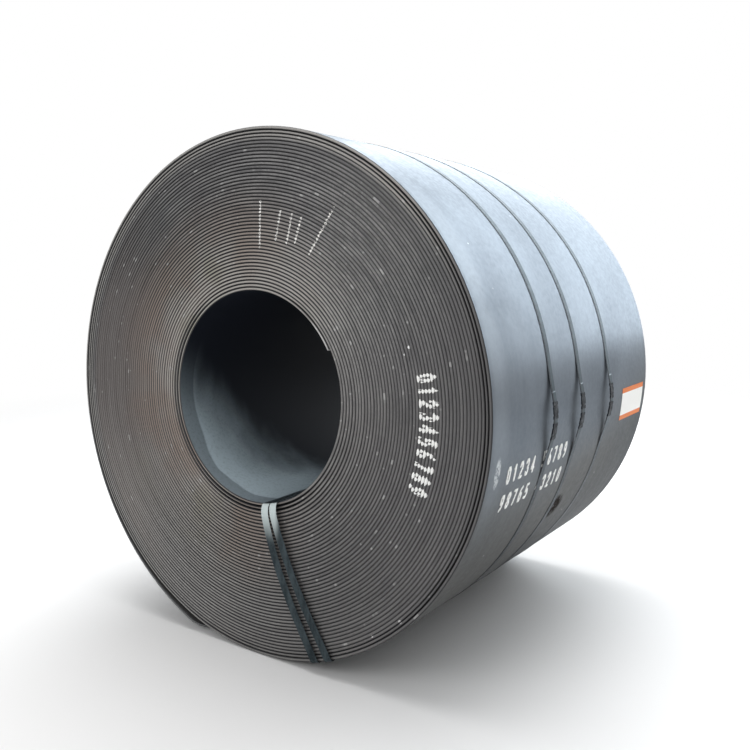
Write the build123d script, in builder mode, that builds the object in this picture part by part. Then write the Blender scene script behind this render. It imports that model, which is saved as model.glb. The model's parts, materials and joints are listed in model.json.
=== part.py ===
"""Hot-rolled steel coil, lying on its side, with its round bands, eye bands and label.

Millimetres. The coil's axis runs along Y through the origin, at the middle of the bore.
The front end faces -Y and +Z is up. Angles are in degrees in the XZ plane, from +X towards +Z.
A turn is the angle gone round from the strip's outer end, the way the strip winds outwards.
"""

import os
from math import acos, ceil, cos, degrees, pi, radians, sin, sqrt

from build123d import *

os.makedirs("parts", exist_ok=True)

full_turn = 360
quarter_turn = 90
longest_arc_angle = 30

# Strip and winding
strip_width = 1500.0
strip_thickness = 12.0
winding_slack = 0.2
lap_count = 47
bore_radius = 381.0

# Creases between rings of laps on both ends, each a little in or out of the one before
laps_in_ring = 3
edge_stagger = 3.0
crease_shares = (1.0, 0.15, 0.85, 0.0, 0.95, 0.3, 0.75, 0.1)

# The strip's outer end springs off the lap below, and its tip stands on the floor
tail_lift = 20.0
tail_lift_angle = 62.0
tail_gap_end = 0.6
tail_corner_radius = 110.0
last_lap_root = 2.0

# The strip's inner end is a step in the bore, which the wall runs out to
inner_end_angle = 29.0
inner_end_step = 8.5
inner_ramp_angle = 74.0
inner_ramp_clearance = 0.1

# Steel banding
band_width = 32.0
band_thickness = 0.9
seat_gap = 0.3
bore_edge_clearance = 0.3

# Round bands: where each stands along the coil, and the bow that stands off it at the joint
round_band_places = {"front": -315.0, "middle": -61.0, "rear": 244.0}
joint_angle = -3.0
bow_half_angle = 13.4
overlap_end_length = 30.0
overlap_gap = 0.1

# Crimped seals, two on each joint, notched in pairs along both edges
seal_length = 58.0
seal_spacing = 72.0
seal_end_margin = 5.0
seal_thickness = 1.2
seal_clearance = 0.1
notch_length = 6.0
notch_depth = 3.5
notch_spacing = 30.0

# Eye bands, side by side: through the bore, down both ends and along the outside
eye_bore_angle = -77.8
eye_bore_gap = 4.6
eye_outer_angle = -70.7
eye_outer_gap = 31.3
eye_bore_standoff = 18.0
eye_outer_standoff = 8.0
eye_bore_bend = 14.0
eye_outer_bend = 6.0
bend_steps = 4

# Label on the side
label_length = 270.0
label_height = 135.0
label_thickness = 0.3
label_edge_margin = 45.0
label_angle = -6.0

half_width = strip_width / 2
lap_pitch = strip_thickness + winding_slack
turned_laps = lap_count - 1
last_lap_seat = bore_radius + turned_laps * lap_pitch
outer_radius = last_lap_seat + lap_pitch
band_layer = band_thickness + overlap_gap

# The tip reaches down to the lowest line of the lap below, from where a band bridges to it
tip_radius = outer_radius + tail_lift
bridge_turn = degrees(acos(last_lap_seat / tip_radius))
tip_angle = -quarter_turn - bridge_turn

# A band's bow is an arc under the seals and a straight line tangent to the coil on each side
joint_length = seal_spacing + seal_length + 2 * seal_end_margin
bow_radius = joint_length / radians(2 * bow_half_angle)
joint_turn = (joint_angle - tip_angle) % full_turn
joint_seat = last_lap_seat + lap_pitch * joint_turn / full_turn + seat_gap
bow_height = (joint_seat - bow_radius) * (1 / cos(radians(bow_half_angle)) - 1)


def place(radius, angle, y=0.0):
    """A point at a radius and angle round the coil's axis."""
    return Vector(radius * cos(radians(angle)), y, radius * sin(radians(angle)))


def flat(radius, angle):
    """The same point as a pair in the XZ sketch plane."""
    return (radius * cos(radians(angle)), radius * sin(radians(angle)))


def arc_degrees(length, radius):
    """The angle that a length takes up round a radius."""
    return degrees(length / radius)


def turn_at(angle):
    """The turn at which an angle lies."""
    return (angle - tip_angle) % full_turn


def arc_chain(point_at, start, end):
    """Arcs end to end along a curve that is given as a point at each turn."""
    count = ceil((end - start) / longest_arc_angle)
    step = (end - start) / count
    arcs = []
    for number in range(count):
        turns = [start + step * (number + share) for share in (0, 0.5, 1)]
        arcs.append(ThreePointArc(*[point_at(turn) for turn in turns]))
    return arcs


def save(piece, name):
    piece.part.label = name
    export_step(piece.part, f"parts/{name}.step")


def lift(turn):
    """How far the last lap stands off the lap below: nothing, then more and more to its tip."""
    share = max(0, 1 - (full_turn - turn) / tail_lift_angle)
    return tail_lift * share**2


def surface(turn):
    """Radius of the coil's outside, which grows by one lap over the last turn."""
    return last_lap_seat + lap_pitch * turn / full_turn + lift(turn)


def creases(end):
    """Radius and Y of the creases across one end, from the bore to the last lap's seat."""
    points = []
    for lap in range(0, turned_laps - 1, laps_in_ring):
        share = crease_shares[len(points) % len(crease_shares)]
        points.append((bore_radius + lap * lap_pitch, end * (half_width - edge_stagger * share)))
    points.append((last_lap_seat - last_lap_root / 2, end * (half_width - edge_stagger)))
    return points


def last_lap_line():
    """The closed line round the last lap: its outside, its tip, and the gap under its tail."""
    gap_start = full_turn - tail_lift_angle * (1 - sqrt(tail_gap_end / tail_lift))
    outside = arc_chain(lambda turn: flat(surface(turn), tip_angle + turn), 0, full_turn)
    roof = arc_chain(
        lambda turn: flat(last_lap_seat + lift(turn), tip_angle + turn), gap_start, full_turn
    )
    bed = CenterArc((0, 0), last_lap_seat, tip_angle + gap_start, full_turn - gap_start)
    Line(outside[-1] @ 1, roof[-1] @ 1)
    Line(roof[0] @ 0, bed @ 0)


def inner_end_line():
    """The closed line of what the step at the strip's inner end leaves open."""
    rise = (inner_end_step + inner_ramp_clearance) / inner_ramp_angle
    ramp = arc_chain(
        lambda angle: flat(bore_radius + inner_end_step - rise * (inner_end_angle - angle), angle),
        inner_end_angle - inner_ramp_angle,
        inner_end_angle,
    )
    Line(ramp[-1] @ 1, (0, 0))
    Line((0, 0), ramp[0] @ 0)


def make_coil():
    """The coil as one turned solid with its bore, its laps showing on its ends."""
    with BuildPart() as coil:
        with BuildSketch(Plane.XY):
            with BuildLine():
                Polyline(*creases(-1), *reversed(creases(1)), close=True)
            make_face()
        revolve(axis=Axis.Y)
        with BuildSketch(Plane.XZ):
            with BuildLine():
                last_lap_line()
            make_face()
            Circle(last_lap_seat - last_lap_root, mode=Mode.SUBTRACT)
        extrude(amount=half_width, both=True)
        with BuildSketch(Plane.XZ):
            with BuildLine():
                inner_end_line()
            make_face()
        extrude(amount=strip_width, both=True, mode=Mode.SUBTRACT)
        tip = coil.faces().sort_by_distance(place(tip_radius - lap_pitch / 2, tip_angle))[0]
        fillet(tip.edges().sort_by(SortBy.LENGTH)[:2], radius=tail_corner_radius)
    return coil


def joint_point(along, depth):
    """A point on a band's bow, which is an arc with a straight line on from each of its ends."""
    half = radians(bow_half_angle)
    angle = max(-half, min(half, along / bow_radius))
    outward = joint_angle + degrees(angle)
    centre = place(joint_seat - bow_radius + bow_height, joint_angle)
    point = centre + place(bow_radius + depth, outward)
    point += place(along - angle * bow_radius, outward + quarter_turn)
    return (point.X, point.Z)


def joint_line(depth, start, end):
    """The stretch of a band's bow between two places along it."""
    half = joint_length / 2
    if start < -half:
        Line(joint_point(start, depth), joint_point(-half, depth))
    if end > half:
        Line(joint_point(half, depth), joint_point(end, depth))
    ends = (max(start, -half), min(end, half))
    return ThreePointArc(*[joint_point(along, depth) for along in (ends[0], sum(ends) / 2, ends[1])])


def round_band_face(depth):
    """One face of a round band, from its first end round the coil and over that end again."""
    overlap = joint_length / 2 + overlap_end_length

    def seat(turn):
        return flat(surface(turn) + seat_gap + depth, tip_angle + turn)

    joint_line(depth, -overlap, joint_length / 2)
    first = arc_chain(seat, joint_turn + bow_half_angle, full_turn)
    second = arc_chain(seat, bridge_turn, joint_turn - bow_half_angle)
    Line(joint_point(joint_length / 2, depth), first[0] @ 0)
    Line(first[-1] @ 1, second[0] @ 0)
    Line(second[-1] @ 1, joint_point(-overlap, depth + band_layer))
    joint_line(depth + band_layer, -overlap, overlap)


def make_round_band(y):
    """One strip round the outside, lapped over its own first end at the joint."""
    overlap = joint_length / 2 + overlap_end_length
    with BuildPart() as band:
        with BuildSketch(Plane.XZ.offset(-y)):
            with BuildLine():
                round_band_face(0)
                round_band_face(band_thickness)
                Line(joint_point(-overlap, 0), joint_point(-overlap, band_thickness))
                Line(
                    joint_point(overlap, band_layer), joint_point(overlap, band_layer + band_thickness)
                )
            make_face()
        extrude(amount=band_width / 2, both=True)
    return band


def joint_plate(low_depth, high_depth, start, end):
    """The closed line of a plate that follows the bow, between two depths."""
    joint_line(low_depth, start, end)
    joint_line(high_depth, start, end)
    Line(joint_point(start, low_depth), joint_point(start, high_depth))
    Line(joint_point(end, low_depth), joint_point(end, high_depth))


def make_seals(y):
    """The two crimped sleeves that hold a round band's joint."""
    plane = Plane.XZ.offset(-y)
    pocket_width = band_width + 2 * seal_clearance
    sleeve_width = pocket_width + 2 * seal_thickness
    pocket_low = -seal_clearance
    pocket_high = band_layer + band_thickness + seal_clearance
    with BuildPart() as seals:
        for side in (-1, 1):
            start = (side * seal_spacing - seal_length) / 2
            end = (side * seal_spacing + seal_length) / 2
            with BuildSketch(plane):
                with BuildLine():
                    joint_plate(pocket_low - seal_thickness, pocket_high + seal_thickness, start, end)
                make_face()
            extrude(amount=sleeve_width / 2, both=True)
        with BuildSketch(plane):
            with BuildLine():
                joint_plate(pocket_low, pocket_high, -joint_length / 2, joint_length / 2)
            make_face()
        extrude(amount=pocket_width / 2, both=True, mode=Mode.SUBTRACT)
        for side in (-1, 1):
            for end in (-1, 1):
                along = (side * seal_spacing + end * notch_spacing) / 2
                x, z = joint_point(along, 0)
                outward = place(1, joint_angle + degrees(along / bow_radius))
                with Locations(Plane((x, y, z), x_dir=(0, 1, 0), z_dir=outward)):
                    with Locations((sleeve_width / 2, 0), (-sleeve_width / 2, 0)):
                        Box(2 * notch_depth, notch_length, joint_length, mode=Mode.SUBTRACT)
    return seals


def corner_frames(start, along, across, bend, width_before, width_after):
    """Frames round one bend: the strip turns from the along direction to the across direction."""
    frames = []
    for step in range(bend_steps + 1):
        share = step / bend_steps
        angle = share * pi / 2
        centre = start + along * (bend * sin(angle)) + across * (bend * (1 - cos(angle)))
        tangent = along * cos(angle) + across * sin(angle)
        width = (width_before * (1 - share) + width_after * share).normalized()
        frames.append(Plane(centre, x_dir=width, z_dir=tangent))
    return frames


def eye_frames(side):
    """Frames along half an eye band: bore, front end, outside, all in front of Y = 0."""
    bore_angle = eye_bore_angle + side * arc_degrees((band_width + eye_bore_gap) / 2, bore_radius)
    outer_angle = eye_outer_angle + side * arc_degrees((band_width + eye_outer_gap) / 2, outer_radius)
    bore_edge = bore_radius - bore_edge_clearance
    bore_line = sqrt(bore_edge**2 - (band_width / 2) ** 2) - band_thickness / 2
    round_band_top = surface(turn_at(outer_angle)) + seat_gap + band_thickness
    outer_line = round_band_top + seat_gap + band_thickness / 2
    bore_front = half_width + eye_bore_standoff
    outer_front = half_width + eye_outer_standoff
    forward = Vector(0, -1, 0)
    bore_across = place(1, bore_angle + quarter_turn)
    outer_across = place(1, outer_angle + quarter_turn)
    down = (place(outer_line, outer_angle) - place(bore_line, bore_angle)).normalized()
    end_across = forward.cross(down)
    bore_bend = place(bore_line, bore_angle, eye_bore_bend - bore_front)
    outer_bend = place(outer_line, outer_angle, -outer_front) - down * eye_outer_bend
    frames = [Plane(place(bore_line, bore_angle), x_dir=bore_across, z_dir=forward)]
    frames += corner_frames(bore_bend, forward, down, eye_bore_bend, bore_across, end_across)
    frames += corner_frames(outer_bend, down, -forward, eye_outer_bend, end_across, outer_across)
    frames.append(Plane(place(outer_line, outer_angle), x_dir=outer_across, z_dir=-forward))
    return frames


def make_eye_band(side):
    """One eye band, as a closed loop of flat strip round the coil's wall."""
    with BuildPart() as band:
        for frame in eye_frames(side):
            with BuildSketch(frame):
                Rectangle(band_width, band_thickness)
        loft(ruled=True)
        mirror(about=Plane.XZ)
    return band


def make_label():
    """The label, stuck on the outside near the rear end."""
    half = arc_degrees(label_height / 2, outer_radius)
    near = surface(turn_at(label_angle + half)) + seat_gap
    far = near + label_thickness
    start = label_angle - half
    end = label_angle + half
    middle = half_width - label_edge_margin - label_length / 2
    with BuildPart() as label:
        with BuildSketch(Plane.XZ.offset(-middle)):
            with BuildLine():
                CenterArc((0, 0), near, start, 2 * half)
                CenterArc((0, 0), far, start, 2 * half)
                Line(flat(near, start), flat(far, start))
                Line(flat(near, end), flat(far, end))
            make_face()
        extrude(amount=label_length / 2, both=True)
    return label


save(make_coil(), "coil")
for name, y in round_band_places.items():
    save(make_round_band(y), f"band_{name}")
    save(make_seals(y), f"seals_{name}")
save(make_eye_band(-1), "eye_band_left")
save(make_eye_band(1), "eye_band_right")
save(make_label(), "label")
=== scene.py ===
import json
import math

import bpy
import numpy as np
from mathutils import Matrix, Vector


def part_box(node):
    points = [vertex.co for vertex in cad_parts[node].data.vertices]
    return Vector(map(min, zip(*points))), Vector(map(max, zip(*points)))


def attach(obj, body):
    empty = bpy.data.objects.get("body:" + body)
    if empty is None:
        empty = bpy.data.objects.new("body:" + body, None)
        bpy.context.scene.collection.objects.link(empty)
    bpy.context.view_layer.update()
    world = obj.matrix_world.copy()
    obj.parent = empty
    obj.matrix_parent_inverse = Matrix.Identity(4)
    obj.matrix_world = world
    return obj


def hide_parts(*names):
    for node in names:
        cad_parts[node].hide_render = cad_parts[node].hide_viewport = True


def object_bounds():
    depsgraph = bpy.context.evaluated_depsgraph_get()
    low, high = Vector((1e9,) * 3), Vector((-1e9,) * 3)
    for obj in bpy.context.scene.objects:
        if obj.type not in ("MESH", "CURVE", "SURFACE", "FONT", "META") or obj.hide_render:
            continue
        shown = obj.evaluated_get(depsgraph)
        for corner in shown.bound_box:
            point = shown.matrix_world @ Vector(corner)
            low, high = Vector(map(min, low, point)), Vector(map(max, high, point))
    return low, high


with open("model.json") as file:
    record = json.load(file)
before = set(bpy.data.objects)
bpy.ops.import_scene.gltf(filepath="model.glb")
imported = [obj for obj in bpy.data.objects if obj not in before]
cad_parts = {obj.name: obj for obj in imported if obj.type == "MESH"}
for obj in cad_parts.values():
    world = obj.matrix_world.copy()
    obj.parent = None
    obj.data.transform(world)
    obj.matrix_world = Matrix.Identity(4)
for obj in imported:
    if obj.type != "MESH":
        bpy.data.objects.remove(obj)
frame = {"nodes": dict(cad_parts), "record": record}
cadLow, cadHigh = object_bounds()
print("frame loaded:", ", ".join(sorted(frame["nodes"])))

mm = 0.001                              # shapes are in millimetres, shader values in metres


# shader expressions

class Signal:
    # one output of a node: sums on it add Math nodes
    def __init__(self, graph, socket):
        self.graph = graph
        self.socket = socket

    def math(self, operation, first, second):
        return self.graph.node("ShaderNodeMath", {"operation": operation}, {0: first, 1: second})

    def __add__(self, other):
        return self.math("ADD", self, other)

    def __radd__(self, other):
        return self.math("ADD", other, self)

    def __sub__(self, other):
        return self.math("SUBTRACT", self, other)

    def __rsub__(self, other):
        return self.math("SUBTRACT", other, self)

    def __mul__(self, other):
        return self.math("MULTIPLY", self, other)

    def __rmul__(self, other):
        return self.math("MULTIPLY", other, self)

    def step(self, low, high, outLow=0.0, outHigh=1.0):
        # smoothly from outLow to outHigh while the value goes from low to high
        return self.graph.node("ShaderNodeMapRange", {"interpolation_type": "SMOOTHSTEP"},
                               {0: self, 1: low, 2: high, 3: outLow, 4: outHigh})

    def output(self, name):
        return Signal(self.graph, self.socket.node.outputs[name])


class Graph:
    # the nodes of one material or world
    def __init__(self, tree):
        self.tree = tree
        tree.nodes.clear()

    def node(self, kind, settings=None, inputs=None, output=0):
        made = self.tree.nodes.new(kind)
        for name, value in (settings or {}).items():
            setattr(made, name, value)
        for name, value in (inputs or {}).items():
            if isinstance(value, Signal):
                self.tree.links.new(value.socket, made.inputs[name])
            else:
                made.inputs[name].default_value = value
        return Signal(self, made.outputs[output]) if made.outputs else None

    def place(self):
        return self.node("ShaderNodeTexCoord", output="Object")

    def split(self, vector):
        x = self.node("ShaderNodeSeparateXYZ", None, {0: vector})
        return x, x.output("Y"), x.output("Z")

    def join(self, x, y, z):
        return self.node("ShaderNodeCombineXYZ", None, {0: x, 1: y, 2: z})

    def noise(self, vector, scale, detail, roughness):
        return self.node("ShaderNodeTexNoise", None, {"Vector": vector, "Scale": scale,
                                                      "Detail": detail, "Roughness": roughness})

    def attribute(self, name):
        return self.node("ShaderNodeAttribute", {"attribute_name": name}, output="Fac")

    def turn(self, x, z):
        return self.node("ShaderNodeMath", {"operation": "ARCTAN2"}, {0: z, 1: x})

    def radius(self, x, z):
        return self.node("ShaderNodeMath", {"operation": "SQRT"}, {0: x * x + z * z})

    def mix(self, share, first, second):
        # a colour, the more of the second the greater the share
        colours = [(*c, 1.0) if isinstance(c, tuple) else c for c in (first, second)]
        return self.node("ShaderNodeMix", {"data_type": "RGBA"},
                         {0: share, 6: colours[0], 7: colours[1]}, output=2)

    def coats(self, colours, ground, *coats):
        # a ground colour under coats, each a share and the name of its colour, the last on top
        colour = colours[ground]
        for share, name in coats:
            colour = self.mix(share, colour, colours[name])
        return colour

    def bump(self, height, strength, distance):
        return self.node("ShaderNodeBump", None,
                         {"Height": height, "Strength": strength, "Distance": distance * mm})

    def seenRays(self):
        # 1 on camera, glossy and transmission rays, 0 on the ones that carry light
        rays = self.node("ShaderNodeLightPath")
        return rays + rays.output("Is Glossy Ray") + rays.output("Is Transmission Ray")


def makeMaterial(name, paint):
    # paint gives a shader, or else what goes into the sockets of a Principled one
    material = bpy.data.materials.new(name)
    material.use_nodes = True
    graph = Graph(material.node_tree)
    shader = paint(graph)
    if isinstance(shader, dict):
        shader = graph.node("ShaderNodeBsdfPrincipled", None, shader)
    graph.node("ShaderNodeOutputMaterial", None, {"Surface": shader})
    return material


def addToScene(name, data):
    made = bpy.data.objects.new(name, data)
    bpy.context.scene.collection.objects.link(made)
    return made


# camera

cameraView = {
    "place": (2.021, -2.91, 0.451),     # metres from the middle of the bore
    "turn": 34.62,                      # degrees to the left of straight along the coil
    "drop": 4.65,                       # degrees below level
    "lens": 39.75,
    "sensor": 36.0,
    "shiftY": -0.0496,
}


def makeCamera(view):
    data = bpy.data.cameras.new("camera")
    data.lens = view["lens"]
    data.sensor_width = view["sensor"]
    data.shift_y = view["shiftY"]
    camera = addToScene("camera", data)
    camera.location = view["place"]
    camera.rotation_euler = (math.radians(90.0 - view["drop"]), 0.0, math.radians(view["turn"]))
    bpy.context.scene.camera = camera


makeCamera(cameraView)
print("camera set")


# meshes

def addPiece(name, points, faces, materials, replaced=(), slots=None):
    # points in millimetres, any grid of them, and faces as lists of their numbers
    mesh = bpy.data.meshes.new(name)
    mesh.from_pydata((points.reshape(-1, 3) * mm).tolist(), [], faces)
    for material in materials:
        mesh.materials.append(material)
    if slots is not None:
        mesh.polygons.foreach_set("material_index", np.asarray(slots, dtype=np.int32))
    mesh.polygons.foreach_set("use_smooth", np.ones(len(mesh.polygons), dtype=bool))
    piece = addToScene(name, mesh)
    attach(piece, "root")
    if replaced:
        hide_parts(*replaced)
    return piece


def addAttribute(mesh, name, values):
    mesh.attributes.new(name, "FLOAT", "POINT").data.foreach_set("value", values)


def barFaces(rows, columns, count=1, looped=False):
    # faces of bars: each row is a closed section, joined to the next row, with a cap at both ends
    # or with the last row joined to the first
    row = np.arange(rows if looped else rows - 1)[:, None] * columns
    column = np.arange(columns)
    nextRow = (row + columns) % (rows * columns)
    nextColumn = (column + 1) % columns
    corners = (row + column, nextRow + column, nextRow + nextColumn, row + nextColumn)
    start = np.arange(count)[:, None, None] * rows * columns
    faces = (np.stack(corners, axis=-1).reshape(1, -1, 4) + start).reshape(-1, 4).tolist()
    if not looped:
        faces += (column + start).reshape(-1, columns).tolist()
        faces += (column[::-1] + start + (rows - 1) * columns).reshape(-1, columns).tolist()
    return faces


def markSharp(mesh, columns, sharpColumns):
    # the edges that run along a bar in those columns of its section keep a hard corner
    ends = np.empty(len(mesh.edges) * 2, dtype=np.int32)
    mesh.edges.foreach_get("vertices", ends)
    ends = ends.reshape(-1, 2) % columns
    along = (ends[:, 0] == ends[:, 1]) & np.isin(ends[:, 0], sharpColumns)
    mesh.attributes.new("sharp_edge", "BOOLEAN", "EDGE").data.foreach_set("value", along)


def smoothStep(share):
    share = np.clip(share, 0.0, 1.0)
    return share * share * (3.0 - 2.0 * share)


def around(radius, angle, y):
    # places at a radius and an angle in degrees round the coil's axis
    angle = np.radians(angle)
    return np.stack(np.broadcast_arrays(radius * np.cos(angle), y, radius * np.sin(angle)), axis=-1)


def unit(vectors):
    return vectors / np.linalg.norm(vectors, axis=-1, keepdims=True)


# the wound strip, in millimetres and degrees; a lap's number goes up by one each turn from the
# inner end

strip = {
    "thickness": 12.0,
    "slack": 0.2,                       # between the laps
    "halfWidth": 750.0,
    "laps": 47,
    "boreRadius": frame["record"]["mounts"][0]["dims"]["r_mm"],
    "lastLapSeat": 942.2,               # inner radius of the last lap at its tip, before its lift
    "innerEnd": 29.0,                   # where the first lap starts in the bore
    "climbTurn": 74.0,                  # over this the second lap climbs over that end
    "climbFade": 5.0,                   # laps by which the climb has evened out
    "tip": -104.66,                     # where the last lap ends
    "tailLift": 20.0,                   # by which the tip stands off the lap below
    "tailTurn": 62.0,
    "tipCorner": 110.0,
    "cornerRows": 14,
    "edgeAcross": (0.0, 1.1, 3.0, 6.0, 9.0, 10.9, 12.0),    # the rounded edge of a lap
    "edgeDepth": (4.6, 2.2, 0.6, 0.0, 0.6, 2.2, 4.6),
    "ringLaps": 3,                      # the laps stand in and out in rings of this many
    "ringDepth": 3.0,
    "ringShares": (1.0, 0.15, 0.85, 0.0, 0.95, 0.3, 0.75, 0.1),
    "crownLift": 1.2,                   # by which the crowns stand out of those rings
    "stagger": 0.9,                     # how far a lap may stand behind its ring
    "staggerSteps": 3,                  # random values a lap
    "leastInset": 0.3,
    "lastLapTurn": 12.0,                # over this the last lap comes out to the full width
    "gaps": (                           # from and to a lap's number, and how deep
        (44.75, 45.16, 6.0), (43.8, 44.1, 2.5), (44.2, 44.6, 3.0), (40.2, 40.6, 3.0),
        (43.3, 45.99, 1.6), (-0.1, 0.14, 8.0), (0.25, 0.8, 8.0), (1.25, 1.8, 7.0),
    ),
    "gapFade": 12.0,                    # a gap opens and closes within a lap divided by this
    "gapOuter": (0.0, 0.0, 0.0, 0.0, 0.2, 0.7, 1.0),        # for the lap inside a gap
    "gapInner": (1.0, 0.55, 0.1, 0.0, 0.0, 0.0, 0.0),       # for the lap outside it
    "stepsPerTurn": 144,
    "leastStep": 0.3,                   # before the rows of the tip's corners
    "boreTurn": 400.0,                  # so far the inner face is the bore's wall
    "seed": 7,
}


def stripTotal(s):
    # degrees wound from the inner end to the tip
    return (s["laps"] - 1) * 360.0 + (s["tip"] - s["innerEnd"]) % 360.0


def stripRadius(s, turns):
    # inner radius: a spiral that grows by one pitch a turn, but the first laps stay round and
    # climb over the inner end in the last part of their turn, and the tail lifts as a square
    total = stripTotal(s)
    pitch = (s["lastLapSeat"] - s["boreRadius"]) / (total / 360.0)
    lap = np.floor(turns / 360.0 + 1e-9)
    part = turns / 360.0 - lap
    climb = smoothStep((part * 360.0 - 360.0 + s["climbTurn"]) / s["climbTurn"])
    tail = np.clip(1.0 - (total - turns) / s["tailTurn"], 0.0, 1.0)
    radius = lap + part + np.exp(-lap / s["climbFade"]) * (climb - part)
    return s["boreRadius"] + pitch * radius + s["tailLift"] * tail**2


def stripInset(s, turns):
    # how far a lap's crown stands inside the full width: the zigzag of the rings less the lift of
    # the crowns, plus a slow random drift, and only the least inset on the last lap
    random = np.random.default_rng(s["seed"])
    rings = np.arange(0, s["laps"] - 2, s["ringLaps"])
    shares = np.append(np.resize(s["ringShares"], len(rings)), 1.0)
    lap = turns / 360.0
    zigzag = np.interp(lap, np.append(rings, s["laps"] - 1), shares) * s["ringDepth"]
    drift = random.uniform(0.0, s["stagger"], (s["laps"] + 1) * s["staggerSteps"])
    inset = np.maximum(zigzag - s["crownLift"], 0.0)
    inset = inset + np.interp(lap * s["staggerSteps"], np.arange(len(drift)), drift)
    lastLapStart = stripTotal(s) - (360.0 + s["lastLapTurn"])
    lastLap = smoothStep((turns - lastLapStart) / s["lastLapTurn"])
    return inset * (1.0 - lastLap) + s["leastInset"]


def stripEdge(s, turns):
    # depth of a lap's rounded edge at each point across it; where two laps stand apart, the outer
    # edge of the one and the inner edge of the next fall back further
    lap = (turns / 360.0)[:, None]
    depth = np.array(s["edgeDepth"]) + np.zeros_like(lap)
    for first, last, deep in s["gaps"]:
        lapInside, lapOutside = [smoothStep((number - first) * s["gapFade"])
                                 * smoothStep((last - number) * s["gapFade"])
                                 for number in (lap, lap - 1.0)]
        depth = depth + deep * (lapInside * s["gapOuter"] + lapOutside * s["gapInner"])
    return depth


def makeStrip(s):
    # the section is a flat bar with rounded edges, carried along the spiral of stripRadius; both
    # corners of its tip are quarter circles
    total = stripTotal(s)
    corner = s["tipCorner"]
    cornerTurn = math.degrees(corner / s["lastLapSeat"])
    even = np.arange(0.0, total - cornerTurn - s["leastStep"], 360.0 / s["stepsPerTurn"])
    quarter = np.linspace(0.0, math.pi / 2.0, s["cornerRows"])
    turns = np.concatenate([even, total - cornerTurn * (1.0 - np.sin(quarter))])
    short = np.clip(corner - np.radians(total - turns) * s["lastLapSeat"], 0.0, corner)
    cut = corner - np.sqrt(corner**2 - short**2)
    half = (s["halfWidth"] - stripInset(s, turns) - cut)[:, None]
    depth = stripEdge(s, turns)
    section = np.concatenate([s["edgeAcross"], s["edgeAcross"][::-1]])
    y = np.concatenate([depth - half, half - depth[:, ::-1]], axis=1)
    radius = stripRadius(s, turns)[:, None] + section
    points = around(radius, (s["innerEnd"] + turns)[:, None], y)

    # material 0 on the broad faces, 1 on the rounded edges and the caps, 2 on the bore's wall
    columns = len(section)
    edgeColumns = len(s["edgeAcross"]) - 1
    slots = np.tile(([1] * edgeColumns + [0]) * 2, (len(turns) - 1, 1))
    slots[turns[:-1] < s["boreTurn"], -1] = 2
    piece = addPiece("wound_strip", points, barFaces(len(turns), columns),
                     [millScale, lapEdge, boreScale], ["coil"],
                     np.append(slots, [1, 1]))
    markSharp(piece.data, columns, (0, edgeColumns, edgeColumns + 1, columns - 1))
    crown = np.clip(1.0 - depth / max(s["edgeDepth"]), 0.0, 1.0)
    addAttribute(piece.data, "lap", np.repeat(turns / 360.0, columns))
    addAttribute(piece.data, "crown", np.concatenate([crown, crown[:, ::-1]], axis=1).ravel())


scale = {
    "dark": (0.088, 0.099, 0.114),
    "light": (0.145, 0.162, 0.182),
    # painted shade underneath and low at the rear, and a painted highlight by the front rim
    "warmUnderShade": (0.082, 0.079, 0.072),
    "shade": (0.036, 0.039, 0.043),
    "rimHighlight": (0.20, 0.22, 0.24),
    "rust": (0.014, 0.009, 0.007),
    "scraped": (0.55, 0.56, 0.56),
    "smearSpot": (-0.683, -9.8, 0.022, 0.058),      # place along and angle, half sizes in metres
    "rustSpot": (-0.020, -27.2, 0.075, 0.060),
    "spotRadius": 0.95,                 # of the coil's side
    "metallic": (0.78, 0.12),           # from the upper side to the underside
    "roughness": (0.30, 0.42),
    "grazing": (0.82, 0.88, 0.94, 1.0),
}


def sideSpot(y, turn, spot):
    # 1 within an oval spot on the coil's side, fading to 0 round it
    place, angle, halfLength, halfHeight = spot
    along = (y - place) * (1.0 / halfLength)
    up = (turn - math.radians(angle)) * (scale["spotRadius"] / halfHeight)
    return (along * along + up * up).step(1.0, 0.25)


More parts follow.
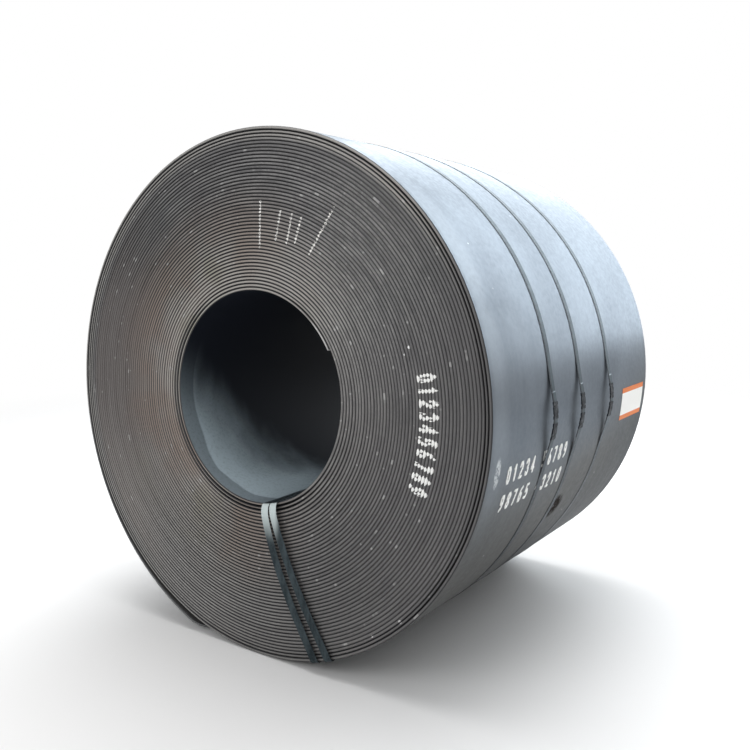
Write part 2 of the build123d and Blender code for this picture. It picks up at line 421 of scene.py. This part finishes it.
def paintScale(g):
    # blue-grey scale, drawn out round the coil, darker and warmer underneath and darker low at the
    # rear in painted shade, with a painted highlight as a paler line by the front rim, a smear in
    # front of the digits and a rusty spot behind and below them
    place = g.place()
    x, y, z = g.split(place)
    turn = g.turn(x, z)
    streak = g.noise(g.join(y * 30.0, turn * 1.2, 0.0), 1.0, 4.0, 0.6)
    cloud = g.noise(place, 2.2, 3.0, 0.5)
    speck = g.noise(place, 55.0, 2.0, 0.7)
    chips = g.noise(place, 34.0, 1.0, 0.5).step(0.80, 0.85)
    tone = (streak * 0.25 + cloud * 0.75).step(0.34, 0.66)
    # painted shade: darker and warmer towards the underside
    low = (z * -1.6 + cloud - 0.40).step(0.0, 0.8)
    # painted shade low down at the rear
    lowRearShade = (y - z * 1.2).step(0.35, 1.1) * x.step(0.2, 0.6)
    # painted highlight: a paler line along the side by the front rim
    rimLightShare = y.step(-0.745, -0.715) * y.step(-0.60, -0.68) * z.step(-0.5, 0.1) * cloud.step(0.2, 0.6)
    rusty = sideSpot(y, turn, scale["rustSpot"]) * speck.step(0.30, 0.46)
    smear = sideSpot(y, turn, scale["smearSpot"]) * speck.step(0.35, 0.60)
    under = (z - y * 0.3).step(0.12, -0.50)
    rough = (streak * 0.4 + speck * 0.6).step(0.3, 0.7, *scale["roughness"])
    return {
        "Base Color": g.coats(scale, "dark", (tone, "light"), (low * 0.85, "warmUnderShade"),
                              (lowRearShade * 0.6, "shade"), (rimLightShare * 0.55, "rimHighlight"), (rusty, "rust"),
                              (smear * 0.8 + chips * 0.7, "scraped")),
        "Metallic": under.step(0.0, 1.0, *scale["metallic"]) * (1.0 - rusty),
        "Roughness": rough + under * 0.15 + rusty * 0.4,
        "Specular IOR Level": 0.10,
        "Specular Tint": scale["grazing"],
        "Normal": g.bump(streak * 0.3 + speck * 0.7, 0.15, 0.5),
    }


boreWall = {
    # painted shade further into the bore
    "deep": (0.0030, 0.0038, 0.0062),
    "dark": (0.0085, 0.0105, 0.0165),
    # painted light on the lower left of the wall
    "paintedLight": (0.43, 0.52, 0.57),
}


def paintBore(g):
    # dark scale, with painted shade that darkens it further in; painted light on the lower left of
    # the wall, broken by grit, half as much in a strip by the front rim
    place = g.place()
    x, y, z = g.split(place)
    cloud = g.noise(g.join(x * 5.0, y * 5.0, z * 1.6), 1.0, 3.0, 0.5)
    grit = g.noise(place, 90.0, 2.0, 0.6)
    # painted light on the lower left of the wall, reaching less far in
    reach = (y + z * 0.9 + cloud * 0.3).step(-0.33, -0.73)
    lowerLeft = (x + z).step(-0.08, -0.53)
    rimLightShare = (y + cloud * 0.06).step(-0.655, -0.645, 0.5, 1.0)
    paintedLight = reach * lowerLeft * rimLightShare * grit.step(0.1, 0.6, 0.75, 1.0)
    # painted shade: the wall darkens further into the bore
    return {
        "Base Color": g.coats(boreWall, "dark", (y.step(-0.4, 0.3), "deep"), (paintedLight, "paintedLight")),
        "Roughness": 0.65,
        "Specular IOR Level": 0.08,
        "Normal": g.bump(grit, 0.2, 0.5),
    }


edge = {
    # painted shade in the grooves between the laps
    "grooveShade": (0.019, 0.019, 0.021),
    "dark": (0.085, 0.083, 0.085),
    "light": (0.220, 0.216, 0.213),
    "brown": (0.215, 0.185, 0.158),
    "plain": (0.104, 0.091, 0.086),
    "pale": (0.40, 0.385, 0.36),
    "rust": (0.19, 0.115, 0.075),
    "olive": (0.215, 0.20, 0.135),
    "bright": (0.50, 0.50, 0.49),
    "tail": (0.150, 0.153, 0.153),
    "chip": (0.8, 0.8, 0.8),
    "chips": (                          # across, up and radius, in metres
        (0.625, -0.673, 0.007), (0.516, -0.748, 0.005),
        (0.656, 0.214, 0.006), (0.640, 0.190, 0.004),
    ),
}


def paintEdge(g):
    # rolled edges with a painted highlight on the crowns and painted shade between them: thin
    # bright crowns to the left and below, broad dull ones to the right, painted shade over the
    # right, a painted highlight on the outermost laps towards the top, brown and almost smooth to
    # the far left, paler and rusty round the bore
    place = g.place()
    x, y, z = g.split(place)
    lap = g.attribute("lap")
    turn = g.turn(x, z)
    radius = g.radius(x, z)
    streak = g.noise(g.join(lap * 3.0, turn * 5.0, y * 3.0), 1.0, 4.0, 0.65)
    patch = g.noise(place, 2.4, 3.0, 0.55)
    grit = g.noise(place, 150.0, 2.0, 0.7)
    scrape = g.noise(g.join(lap * 9.0, turn * 14.0, y), 1.0, 2.0, 0.5).step(0.67, 0.73)

    tone = (streak * 0.65 + grit * 0.35).step(0.34, 0.66)
    inner = radius.step(0.80, 0.50) * x.step(0.35, -0.25)
    farLeft = x.step(-0.40, -0.70) * radius.step(0.91, 0.87)
    below = (x * -0.35 + z * -0.9).step(0.25, 0.80)
    byBore = radius.step(0.70, 0.42) * (z - x).step(-0.4, 0.6, 0.18, 0.75)
    upperLeft = (z - x).step(0.75, 1.15) * radius.step(0.50, 0.65)
    upperRight = radius.step(0.84, 0.87) * (x + z).step(0.3, 0.9)
    # painted highlight: the outermost laps paler towards the top
    outermostHighlight = radius.step(0.900, 0.915) * (z - x * 0.6).step(-0.5, 0.4)
    # painted shade over the right of the end
    right = (x - z * 0.5).step(0.15, 0.75)
    innerEnd = lap.step(0.055, 0.035)
    tail = lap.step(46.40, 46.48)
    chips = []
    for chipX, chipZ, size in edge["chips"]:
        across, up = x - chipX, z - chipZ
        chips.append(((across * across + up * up).step(size**2, size**2 * 0.4), "chip"))
    crowns = g.coats(edge, "dark", (tone, "light"), (inner * 0.6, "brown"),
                     (farLeft * 0.7, "plain"), (below * 0.42, "pale"), (byBore, "pale"),
                     (upperLeft * 0.3, "dark"), (upperRight * 0.45, "dark"),
                     (outermostHighlight * 0.6, "pale"),
                     (inner * patch.step(0.42, 0.60) * 0.6, "rust"),
                     (inner * patch.step(0.46, 0.34) * 0.5, "olive"), (right * 0.6, "dark"),
                     (scrape * 0.5 + innerEnd * 0.8, "bright"), (tail, "tail"), *chips)

    # painted shade between the crowns: softer to the left, to the right and round the left of the
    # bore
    middle = z.step(0.45, 0.15) * z.step(-0.60, -0.30)
    middleLeft = x.step(-0.1, -0.5) * middle * radius.step(0.91, 0.87)
    lowerFarLeft = farLeft * z.step(0.60, 0.30)
    withinRight = x.step(0.20, 0.60) * radius.step(0.92, 0.90)
    boreLeft = radius.step(0.405, 0.42) * radius.step(0.50, 0.46) * x.step(-0.10, -0.30)
    gaps = g.coats(edge, "grooveShade", (middleLeft * 0.7, "dark"), (lowerFarLeft * 0.8, "plain"),
                   (withinRight * 0.7, "dark"), (boreLeft * 0.9, "plain"))
    # painted highlight: the crown's colour narrows to a thin line to the left and widens to the
    # right
    crownHighlightStart = x.step(-0.1, 0.5, 0.72, 0.42)
    return {
        "Base Color": g.mix(g.attribute("crown").step(crownHighlightStart, 1.0), gaps, crowns),
        "Metallic": 0.3,
        "Roughness": grit.step(0.3, 0.7, 0.42, 0.62),
        "Normal": g.bump(grit, 0.4, 0.8),
    }


millScale = makeMaterial("mill_scale_steel", paintScale)
boreScale = makeMaterial("bore_scale_steel", paintBore)
lapEdge = makeMaterial("lap_edge_steel", paintEdge)
makeStrip(strip)
print("strip wound")


# steel banding: the round bands outside and the eye bands through the bore

banding = {
    "width": 32.0,
    "thickness": 0.9,
    "rounding": 0.35,
    "seat": 0.14,                       # room under a strap
    "dark": (0.020, 0.028, 0.032),
    "light": (0.052, 0.068, 0.076),
    # painted shade on the bands
    "blackShade": (0.008, 0.009, 0.010),
    # painted highlight where the eye bands bend
    "bright": (0.55, 0.62, 0.62),
}


def bandSection(b):
    # a flat bar across and out, with its corners taken off
    w, t, r = b["width"] / 2.0, b["thickness"] / 2.0, b["rounding"]
    return np.array([(-w + r, t), (w - r, t), (w, t - r), (w, r - t),
                     (w - r, -t), (r - w, -t), (-w, r - t), (-w, t - r)])


def sweepBand(path, across, looped):
    # the band's section on each point of a path, flat side outwards
    if looped:
        ahead = np.roll(path, -1, axis=0) - np.roll(path, 1, axis=0)
    else:
        ahead = np.gradient(path, axis=0)
    ahead = unit(ahead)
    across = unit(across - ahead * np.sum(across * ahead, axis=1, keepdims=True))
    out = np.cross(across, ahead)
    section = bandSection(banding)
    return path[:, None] + across[:, None] * section[:, :1] + out[:, None] * section[:, 1:]


def addBand(name, path, across, node, looped=False, edgeShade=1.0):
    # the last argument: how far painted shade darkens the front edge of the band's face, 0 or 1
    grid = sweepBand(path, across, looped)
    rows, columns = grid.shape[:2]
    piece = addPiece(name, grid, barFaces(rows, columns, looped=looped), [bandSteel],
                     [node])
    markSharp(piece.data, columns, np.arange(columns))
    beside = bandSection(banding)[:, 0] / banding["width"] * -2.0 * edgeShade
    addAttribute(piece.data, "beside", np.tile(beside, rows))


roundBands = {
    "places": {"front": -315.0, "middle": -61.0, "rear": 244.0},
    "joint": -3.0,                      # the angle at the middle of the bow
    "bowHalfAngle": 13.4,
    "jointLength": 140.0,
    "overlapEnd": 30.0,                 # a strap's end reaches this far beyond the bow
    "layer": 1.0,                       # from the strap below to the one above it
    "jointRows": (40, 44),              # below and above
    "step": 1.5,
}


def outside(turn):
    # radius of the coil's outside at an angle gone round from the tip
    lap = (strip["thickness"] + strip["slack"]) * turn / 360.0
    tail = np.clip(1.0 - (360.0 - turn) / strip["tailTurn"], 0.0, 1.0)
    return strip["lastLapSeat"] + lap + strip["tailLift"] * tail**2


def bowPath(r, along, layer):
    # places along the bow at a joint: an arc, with a straight line on from each of its ends
    half = math.radians(r["bowHalfAngle"])
    radius = r["jointLength"] / (2.0 * half)
    seat = outside((r["joint"] - strip["tip"]) % 360.0) + banding["seat"]
    height = (seat - radius) * (1.0 / math.cos(half) - 1.0)
    angle = np.clip(along / radius, -half, half)
    outward = r["joint"] + np.degrees(angle)
    centre = around(seat - radius + height, r["joint"], 0.0)
    arc = around(radius + banding["thickness"] / 2.0 + layer, outward, 0.0)
    return centre + arc + around(along - angle * radius, outward + 90.0, 0.0)


def roundPath(r):
    # from the first end over the bow, round the coil on its outside, straight from the tip to the
    # lap below, and over the bow again, one layer further out
    half = r["jointLength"] / 2.0
    reach = half + r["overlapEnd"]
    jointTurn = (r["joint"] - strip["tip"]) % 360.0
    bridge = math.degrees(math.acos(strip["lastLapSeat"] / outside(360.0)))
    up = np.arange(jointTurn + r["bowHalfAngle"], 360.0, r["step"])
    down = np.arange(bridge, jointTurn - r["bowHalfAngle"], r["step"])
    turns = np.concatenate([up, [360.0], down])
    seat = banding["seat"] + banding["thickness"] / 2.0
    ride = around(outside(turns) + seat, strip["tip"] + turns, 0.0)
    below = bowPath(r, np.linspace(-reach, half, r["jointRows"][0]), 0.0)
    above = bowPath(r, np.linspace(-reach, reach, r["jointRows"][1]), r["layer"])
    return np.concatenate([below, ride, above])


def makeRoundBands(r):
    path = roundPath(r)
    across = np.broadcast_to((0.0, 1.0, 0.0), path.shape)
    for name, y in r["places"].items():
        addBand(f"round_band_{name}", path + (0.0, y, 0.0), across, f"band_{name}")


eyeBands = {
    "sides": {
        "left": {"bore": -80.55, "outer": -72.6, "sag": 30.0, "seed": 3},
        "right": {"bore": -75.05, "outer": -68.8, "sag": 25.0, "seed": 5},
    },
    "boreRadius": 379.9,
    "standoff": (17.9, 8.0),            # from the coil's end, at the bore and at the outside
    "reach": (46.0, 14.0),              # of the bends down the end
    "power": 0.8,                       # below 1, the sag and the closing in come sooner
    "crinkle": 1.2,
    "creases": 22,
    "bendRows": 13,
    "runRows": 60,
    "straightRows": 12,
}


def eyePath(e, side):
    # half of the loop: along the bore, round a quarter of an ellipse, down the coil's end in a
    # curve that sags to the left, round a second quarter and back along the outside
    outerTurn = (side["outer"] - strip["tip"]) % 360.0
    outerLine = outside(outerTurn) + 2.0 * banding["seat"] + 1.5 * banding["thickness"]
    bore = around(e["boreRadius"], side["bore"], -strip["halfWidth"])
    outer = around(outerLine, side["outer"], -strip["halfWidth"])
    forward = np.array([0.0, -1.0, 0.0])
    down = unit(outer - bore)
    left = np.cross(down, forward)
    length = np.linalg.norm(outer - bore)
    quarter = np.linspace(0.0, math.pi / 2.0, e["bendRows"])[1:-1]
    share = np.linspace(0.0, 1.0, e["runRows"])
    run = e["reach"][0] + (length - sum(e["reach"])) * share
    along = np.concatenate([e["reach"][0] * (1.0 - np.cos(quarter)), run,
                            length - e["reach"][1] * (1.0 - np.sin(quarter))])

    # off the coil's end, with random creases between the bends
    near, far = e["standoff"]
    random = np.random.default_rng(side["seed"])
    crease = random.uniform(-1.0, 0.0, e["creases"])
    crease = np.interp(share, np.linspace(0.0, 1.0, e["creases"]), crease) * e["crinkle"]
    lift = near + (far - near) * share**e["power"]
    lift = lift + crease * smoothStep(share * 3.0) * smoothStep((1.0 - share) * 15.0)
    lift = np.concatenate([near * np.sin(quarter), lift, far * np.cos(quarter)])
    sag = side["sag"] * np.sin(math.pi * (along / length)**e["power"])
    face = bore + down * along[:, None] + forward * lift[:, None] + left * sag[:, None]

    rows = e["straightRows"]
    depth = np.linspace(0.0, -strip["halfWidth"], rows)
    inside = around(e["boreRadius"], side["bore"], depth)
    back = around(outerLine, side["outer"], np.linspace(-strip["halfWidth"], 0.0, rows))
    turned = np.concatenate([np.zeros(rows), along / length, np.ones(rows)])[:, None]
    across = around(1.0, side["bore"] + 90.0, 0.0) * (1.0 - turned)
    across = across + around(1.0, side["outer"] + 90.0, 0.0) * turned
    return np.concatenate([inside, face, back]), across


def makeEyeBands(e):
    # each is one closed loop, the same at both ends of the coil
    mirror = np.array([1.0, -1.0, 1.0])
    for name, side in e["sides"].items():
        path, across = eyePath(e, side)
        loop = np.concatenate([path, path[-2:0:-1] * mirror])
        loopAcross = np.concatenate([across, across[-2:0:-1]])
        addBand(f"eye_strap_{name}", loop, loopAcross, f"eye_band_{name}",
                looped=True, edgeShade=0.0)


def paintBanding(g):
    # blued steel, with painted shade along one edge of the round bands and lower down on all of
    # their face, and a painted highlight where the eye bands bend out of the bore
    place = g.place()
    x, y, z = g.split(place)
    streak = g.noise(g.join(x * 40.0, y * 6.0, z * 6.0), 1.0, 3.0, 0.6)
    grit = g.noise(place, 120.0, 2.0, 0.6)
    tone = (streak * 0.6 + grit * 0.4).step(0.35, 0.65)
    # painted shade along the front edge of the round bands
    edgeShade = g.attribute("beside").step(0.25, 0.45)
    # painted shade lower down on the bands' face
    lowerFaceShade = z.step(-0.05, -0.35) * y.step(-0.755, -0.745)
    # painted highlight where the eye bands bend out of the bore
    bendHighlight = z.step(-0.520, -0.395) * y.step(-0.750, -0.756) * x.step(0.14, 0.11)
    return {
        "Base Color": g.coats(banding, "dark", (tone, "light"), (edgeShade, "blackShade"),
                              (lowerFaceShade * 0.8, "blackShade"), (bendHighlight * 0.9, "bright")),
        "Specular Tint": scale["grazing"],
        "Specular IOR Level": 0.15,
        "Metallic": 0.55 - bendHighlight * 0.3,
        "Roughness": grit.step(0.3, 0.7, 0.34, 0.48),
        "Normal": g.bump(streak, 0.2, 0.4),
    }


seal = {
    "dark": (0.012, 0.014, 0.018),
    "worn": (0.050, 0.055, 0.064),
}


def paintSeal(g):
    wear = g.noise(g.place(), 75.0, 3.0, 0.6)
    return {
        "Base Color": g.coats(seal, "dark", (wear.step(0.45, 0.7), "worn")),
        "Metallic": 0.3,
        "Roughness": wear.step(0.3, 0.7, 0.65, 0.5),
        "Specular IOR Level": 0.15,
        "Normal": g.bump(wear, 0.3, 0.4),
    }


def dress(name, material):
    # the CAD node keeps its mesh and takes this material
    slots = frame["nodes"][name].data.materials
    slots.clear()
    slots.append(material)


bandSteel = makeMaterial("band_steel", paintBanding)
sealSteel = makeMaterial("seal_steel", paintSeal)
makeRoundBands(roundBands)
makeEyeBands(eyeBands)
for place in roundBands["places"]:
    dress(f"seals_{place}", sealSteel)
print("bands made")


# the label: white, with an orange band along its upper and lower edges and nothing printed on it

label = {
    "white": (0.92, 0.91, 0.88),
    "shade": (0.80, 0.79, 0.76),
    "orange": (0.74, 0.18, 0.025),
    "margin": 20.0,
}


def paintLabel(g):
    place = g.place()
    z = g.split(place)[2]
    low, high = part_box("label")
    margin = label["margin"] * mm
    grain = g.noise(place, 90.0, 2.0, 0.6)
    under = z.step(low.z + margin, low.z + margin - mm)
    over = z.step(high.z - margin - mm, high.z - margin)
    return {
        "Base Color": g.coats(label, "white", (grain * 0.2, "shade"), (under + over, "orange")),
        "Roughness": 0.6,
        "Normal": g.bump(grain, 0.1, 0.2),
    }


dress("label", makeMaterial("label_paper", paintLabel))
print("label dressed")


# paint: stencilled counting digits, as strokes in a box one unit wide and high

digitStrokes = {
    "0": [[(0.3, 0), (0, 0.2), (0, 0.8), (0.3, 1)], [(0.7, 1), (1, 0.8), (1, 0.2), (0.7, 0)]],
    "1": [[(0.2, 0.8), (0.55, 1), (0.55, 0)]],
    "2": [[(0, 0.78), (0.25, 1), (0.75, 1), (1, 0.8), (1, 0.6), (0.2, 0.2)], [(0, 0), (1, 0)]],
    "3": [[(0, 0.85), (0.25, 1), (0.75, 1), (1, 0.8), (1, 0.65), (0.7, 0.55)],
          [(0.7, 0.48), (1, 0.35), (1, 0.2), (0.75, 0), (0.25, 0), (0, 0.15)]],
    "4": [[(0.72, 0), (0.72, 1), (0, 0.38)], [(0, 0.25), (1, 0.25)]],
    "5": [[(0.95, 1), (0.1, 1), (0.1, 0.6)],
          [(0.1, 0.52), (0.7, 0.58), (1, 0.4), (1, 0.2), (0.75, 0), (0, 0.05)]],
    "6": [[(0.8, 1), (0.3, 0.85), (0, 0.5), (0, 0.2), (0.25, 0)],
          [(0.4, 0), (0.75, 0), (1, 0.2), (1, 0.35), (0.75, 0.52), (0.2, 0.5)]],
    "7": [[(0, 1), (1, 1), (0.4, 0)]],
    "8": [[(0.3, 0.55), (0, 0.7), (0, 0.85), (0.3, 1)],
          [(0.7, 1), (1, 0.85), (1, 0.7), (0.7, 0.55)],
          [(0.3, 0.45), (0, 0.3), (0, 0.15), (0.3, 0)],
          [(0.7, 0), (1, 0.15), (1, 0.3), (0.7, 0.45)]],
    "9": [[(0.2, 0), (0.7, 0.15), (1, 0.5), (1, 0.8), (0.75, 1)],
          [(0.6, 1), (0.25, 1), (0, 0.8), (0, 0.65), (0.25, 0.48), (0.8, 0.5)]],
}


def strokeMask(across, up, strokes, reach):
    # true where a place is nearer than reach to one of the strokes' straight pieces
    inside = np.zeros(np.broadcast(across, up).shape, dtype=bool)
    for stroke in strokes:
        for (x0, y0), (x1, y1) in zip(stroke[:-1], stroke[1:]):
            dx, dy = x1 - x0, y1 - y0
            share = ((across - x0) * dx + (up - y0) * dy) / (dx * dx + dy * dy)
            share = np.clip(share, 0.0, 1.0)
            inside |= np.hypot(across - x0 - share * dx, up - y0 - share * dy) < reach
    return inside


def textMask(along, up, text, d):
    # the digits of a text beside each other, in millimetres along and up
    inside = np.zeros(np.broadcast(along, up).shape, dtype=bool)
    reach = d["stroke"] / 2.0
    size = (d["width"] - d["stroke"], d["height"] - d["stroke"])
    for number, sign in enumerate(text):
        start = number * d["pitch"] + reach
        strokes = [[(start + x * size[0], reach + y * size[1]) for x, y in stroke]
                   for stroke in digitStrokes.get(sign, [])]
        inside |= strokeMask(along, up, strokes, reach)
    return inside


def findRuns(mask):
    # row number and places of the start and end of each unbroken run of true cells in a row
    edges = np.diff(np.pad(mask, ((0, 0), (1, 1))).astype(np.int8), axis=1)
    row, first = np.nonzero(edges == 1)
    last = np.nonzero(edges == -1)[1]
    return row, first, np.minimum(last, mask.shape[1] - 1)


def addPads(name, top, bottom, material):
    # thin closed pads: grids of places (pad, along, across) for the upper and the under side
    grid = np.concatenate([top, bottom[:, :, ::-1]], axis=2)
    pads, rows, columns = grid.shape[:3]
    addPiece(name, grid, barFaces(rows, columns, pads), [material])


# paint on the end lies on the crowns of the laps, in pads that narrow towards both ends

crownPads = {
    "halfWidth": 5.8,
    "across": (-1.0, -0.8, -0.5, 0.0, 0.5, 0.8, 1.0),
    "rows": 5,
    "endShare": 0.25,                   # of the width that is left at the ends
    "sunk": 0.2,
}


def lapTurns(lap, angle):
    # degrees wound up to an angle on a lap
    return lap * 360.0 + (angle - strip["innerEnd"]) % 360.0


def crownRadius(laps, angle):
    # of the crowns of some laps, a row for each, at some angles
    return stripRadius(strip, lapTurns(laps[:, None], angle)) + strip["thickness"] / 2.0


def addCrownPads(name, p, angleGrid, mask, firstLap, lift, material):
    # a row of the mask is a lap, a cell a step of angle
    row, first, last = findRuns(mask)
    share = np.linspace(0.0, 1.0, p["rows"])[None, :, None]
    start, end = angleGrid[first][:, None, None], angleGrid[last][:, None, None]
    angle = start + (end - start) * share
    turns = lapTurns((firstLap + row)[:, None, None], angle)
    full = np.sqrt(np.clip(1.0 - np.abs(2.0 * share - 1.0)**3, 0.0, 1.0))
    width = p["halfWidth"] * (full * (1.0 - p["endShare"]) + p["endShare"])
    across = strip["thickness"] / 2.0 + width * p["across"]
    depth = np.interp(across, strip["edgeAcross"], strip["edgeDepth"])
    y = stripInset(strip, turns) - strip["halfWidth"] + depth
    radius = stripRadius(strip, turns) + across
    addPads(name, around(radius, angle, y - lift), around(radius, angle, y + p["sunk"]), material)


faceDigits = {
    "text": "0123456789",
    "start": 10.9,                      # degrees, reading downwards
    "pitch": 40.0,
    "width": 29.0,
    "radius": 690.0,                    # the digits' feet
    "height": 70.0,
    "stroke": 13.5,
    "laps": (22, 34),                   # on which the digits lie
    "sample": 1.5,
    "missing": 0.02,                    # share of the samples that took no paint
    "seed": 11,
    "lift": 0.35,
}


def makeFaceDigits(d):
    along = np.arange(0.0, len(d["text"]) * d["pitch"], d["sample"])
    angle = d["start"] - np.degrees(along / (d["radius"] + d["height"] / 2.0))
    laps = np.arange(*d["laps"])
    mask = textMask(along, crownRadius(laps, angle) - d["radius"], d["text"], d)
    random = np.random.default_rng(d["seed"])
    mask &= random.uniform(size=mask.shape) > d["missing"]
    addCrownPads("face_count_digits", crownPads, angle, mask, laps[0], d["lift"], stencilPaint)


sideDigits = {
    "rows": {-11.2: "01234 56789", -17.0: "98765 43210"},
    "start": -610.0,
    "pitch": 46.0,
    "width": 27.0,
    "height": 60.0,
    "radius": 950.0,
    "stroke": 11.0,
    "sample": 2.5,
    "lift": 0.35,
    "sunk": 0.4,
}


def makeSideDigits(d):
    for number, (angle, text) in enumerate(d["rows"].items()):
        along = np.arange(0.0, len(text) * d["pitch"], d["sample"])
        up = np.arange(0.0, d["height"], d["sample"])[:, None]
        row, first, last = findRuns(textMask(along, up + d["sample"] / 2.0, text, d))
        y = d["start"] + np.stack([along[first], along[last]], axis=1)[:, :, None]
        rise = (row * d["sample"])[:, None, None] + np.array([0.0, d["sample"]])
        turn = angle + np.degrees((rise - d["height"] / 2.0) / d["radius"])
        seat = outside((turn - strip["tip"]) % 360.0)
        addPads(f"side_count_digits_{number + 1}", around(seat + d["lift"], turn, y),
                around(seat - d["sunk"], turn, y), stencilPaint)


tally = {
    "strokes": [[(44.0, 690.0), (38.0, 535.0)], [(135.0, 650.0), (112.0, 552.0)],
                [(186.0, 640.0), (163.0, 548.0)], [(228.0, 630.0), (200.0, 548.0)],
                [(368.0, 660.0), (262.0, 508.0)]],
    "width": 9.0,
    "angles": (95.0, 55.0, -0.12),      # first, last and step
    "laps": (8, 34),
    "lift": 0.3,
}


def makeTally(t):
    angle = np.arange(*t["angles"])
    laps = np.arange(*t["laps"])
    crown = crownRadius(laps, angle)
    x, z = crown * np.cos(np.radians(angle)), crown * np.sin(np.radians(angle))
    mask = strokeMask(x, z, t["strokes"], t["width"] / 2.0)
    addCrownPads("chalk_tally", crownPads, angle, mask, laps[0], t["lift"], chalk)


paints = {
    "white": (0.95, 0.95, 0.93),
    "thin": (0.75, 0.75, 0.73),
    "chalk": (0.94, 0.93, 0.90),
    "chalkThin": (0.62, 0.61, 0.59),
}


def paintStencil(g):
    place = g.place()
    worn = g.noise(place, 60.0, 4.0, 0.65)
    fine = g.noise(place, 260.0, 2.0, 0.6)
    return {
        "Base Color": g.coats(paints, "white", (fine * 0.4, "thin")),
        "Roughness": 0.7,
        "Alpha": (worn * 0.7 + fine * 0.3).step(0.28, 0.35),
    }


def paintChalk(g):
    worn = g.noise(g.place(), 140.0, 3.0, 0.7)
    return {
        "Base Color": g.coats(paints, "chalk", (worn * 0.6, "chalkThin")),
        "Roughness": 0.9,
        "Alpha": worn.step(0.40, 0.54),
    }


stencilPaint = makeMaterial("stencil_paint", paintStencil)
chalk = makeMaterial("chalk", paintChalk)
makeFaceDigits(faceDigits)
makeSideDigits(sideDigits)
makeTally(tally)
print("digits and tally painted")


# floor, light and background

room = {
    "floorSize": 60.0,
    "fade": (3.2, 7.0),                 # metres from the coil over which the floor turns white
    "floor": (0.80, 0.80, 0.80),
    "floorShade": (0.76, 0.76, 0.76),
    "white": (1.0, 1.0, 1.0, 1.0),
    "worldLight": 0.5,
    "lamps": {
        "softbox": {"place": (-0.5, 0.5, 5.0), "size": (5.0, 6.0), "power": 380.0},
        "back_softbox": {"place": (0.2, 7.0, 2.9), "size": (9.0, 5.6), "power": 600.0,
                         "colour": (0.90, 0.96, 1.0)},
        "fill": {"place": (-1.0, -6.0, 3.0), "size": (5.0, 3.0), "power": 110.0},
    },
}


def paintFloor(g):
    # matt and pale round the coil, plain white beyond
    place = g.place()
    x, y = g.split(place)[:2]
    tone = g.noise(place, 1.5, 2.0, 0.5)
    colour = g.coats(room, "floor", (tone * 0.05, "floorShade"))
    matt = g.node("ShaderNodeBsdfPrincipled", None, {"Base Color": colour, "Roughness": 0.85})
    white = g.node("ShaderNodeEmission", None, {"Color": room["white"], "Strength": 1.0})
    share = g.radius(x, y).step(*room["fade"]) * g.seenRays()
    return g.node("ShaderNodeMixShader", None, {0: share, 1: matt, 2: white})


def makeFloor(r):
    half = r["floorSize"] / 2.0
    corners = [(x, y, cadLow.z) for y in (-half, half) for x in (-half, half)]
    mesh = bpy.data.meshes.new("floor")
    mesh.from_pydata(corners, [], [(0, 1, 3, 2)])
    mesh.materials.append(makeMaterial("pale_floor", paintFloor))
    floor = addToScene("floor", mesh)


def makeLamps(r):
    for name, lamp in r["lamps"].items():
        data = bpy.data.lights.new(name, "AREA")
        data.shape = "RECTANGLE"
        data.size, data.size_y = lamp["size"]
        data.energy = lamp["power"]
        data.color = lamp.get("colour", r["white"][:3])
        light = addToScene(name, data)
        light.location = lamp["place"]
        light.rotation_euler = (-Vector(lamp["place"])).to_track_quat("-Z", "Y").to_euler()
        light.visible_camera = False


def makeWorld(r):
    # white where it is seen or mirrored, dimmer as a light
    world = bpy.data.worlds.new("studio")
    world.use_nodes = True
    bpy.context.scene.world = world
    g = Graph(world.node_tree)
    strength = g.seenRays().step(0.0, 1.0, r["worldLight"], 1.0)
    shine = g.node("ShaderNodeBackground", None, {"Color": r["white"], "Strength": strength})
    g.node("ShaderNodeOutputWorld", None, {"Surface": shine})


makeFloor(room)
makeLamps(room)
makeWorld(room)
bpy.context.scene.view_settings.view_transform = "Standard"
print("studio lit")
